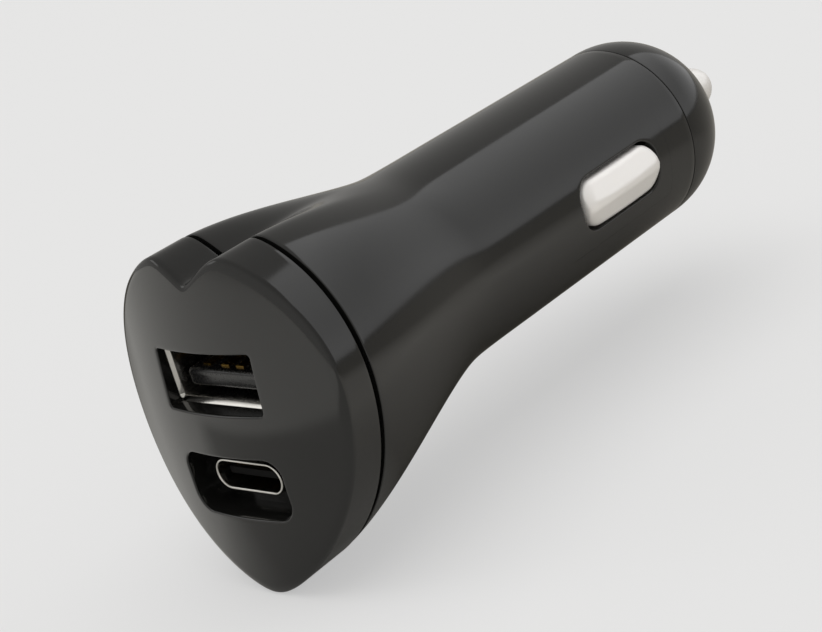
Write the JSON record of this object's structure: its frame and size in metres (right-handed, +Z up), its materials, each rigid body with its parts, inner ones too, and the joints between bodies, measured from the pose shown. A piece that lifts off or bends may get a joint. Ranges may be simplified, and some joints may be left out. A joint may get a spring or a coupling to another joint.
{
  "type": "car usb charger plug",
  "caption": "Plug-in vehicle power adapter with a flared, notched teardrop head that carries two charging ports",
  "frame": {"origin": "on the barrel's axis, in the plane where the straight barrel meets the flared head", "axes": "+Y along the barrel towards the tip contact, so the face with the ports looks towards -Y; +Z up, away from the head's lower point; +X completes the right-handed frame"},
  "size_m": [0.0288, 0.0835, 0.0332],
  "materials": {
    "gloss_black": "polished black moulding",
    "nickel_plate": "bright nickel plating",
    "spring_wire": "drawn spring steel",
    "brass_strip": "bare stamped strip",
    "board_green": "glass-fibre board with solder mask",
    "steel_shell": "drawn and plated steel",
    "port_plastic": "moulded insulator",
    "gold_plate": "thin gold plating",
    "ferrite": "sintered ferrite",
    "copper_wire": "enamelled winding wire",
    "capacitor_sleeve": "shrink sleeve",
    "chip_plastic": "moulded package",
    "chip_ceramic": "fired ceramic"
  },
  "bodies": {
    "body": {"housing": "gloss_black", "front_bezel": "gloss_black", "nose_cap": "gloss_black", "tip_spring": "spring_wire", "tip_terminal": "brass_strip", "main_board": "board_green", "port_board": "board_green", "board_pins": "nickel_plate", "usb_a_shell": "steel_shell", "usb_a_tongue": "port_plastic", "usb_a_contacts": "gold_plate", "usb_c_shell": "steel_shell", "usb_c_tongue": "port_plastic", "usb_c_contacts": "gold_plate", "inductor_core": "ferrite", "inductor_coil": "copper_wire", "input_capacitor": "capacitor_sleeve", "output_capacitor": "capacitor_sleeve", "converter_chip": "chip_plastic", "port_chip": "chip_plastic", "rectifier_diode": "chip_plastic", "chip_parts": "chip_ceramic"},
    "tip": {"tip_contact": "nickel_plate"},
    "right_contact": {"side_contact_right": "nickel_plate"},
    "left_contact": {"side_contact_left": "nickel_plate"}
  },
  "joints": [
    {"name": "tip_press", "type": "slide", "parent": "body", "child": "tip", "axis": [0, -1, 0], "range_m": [0, 0.0025], "stiffness_N_per_m": 900, "springref_m": -0.001, "deforming": ["tip_spring"]},
    {"name": "right_contact_flex", "type": "hinge", "parent": "body", "child": "right_contact", "pos_m": [0.0082, 0.004, 0], "axis": [0, 0, 1], "range_deg": [0, 3.5], "stiffness_Nm_per_rad": 1, "springref_deg": -1.15},
    {"name": "left_contact_flex", "type": "hinge", "parent": "body", "child": "left_contact", "pos_m": [-0.0082, 0.004, 0], "axis": [0, 0, -1], "range_deg": [0, 3.5], "stiffness_Nm_per_rad": 1, "springref_deg": -1.15}
  ]
}
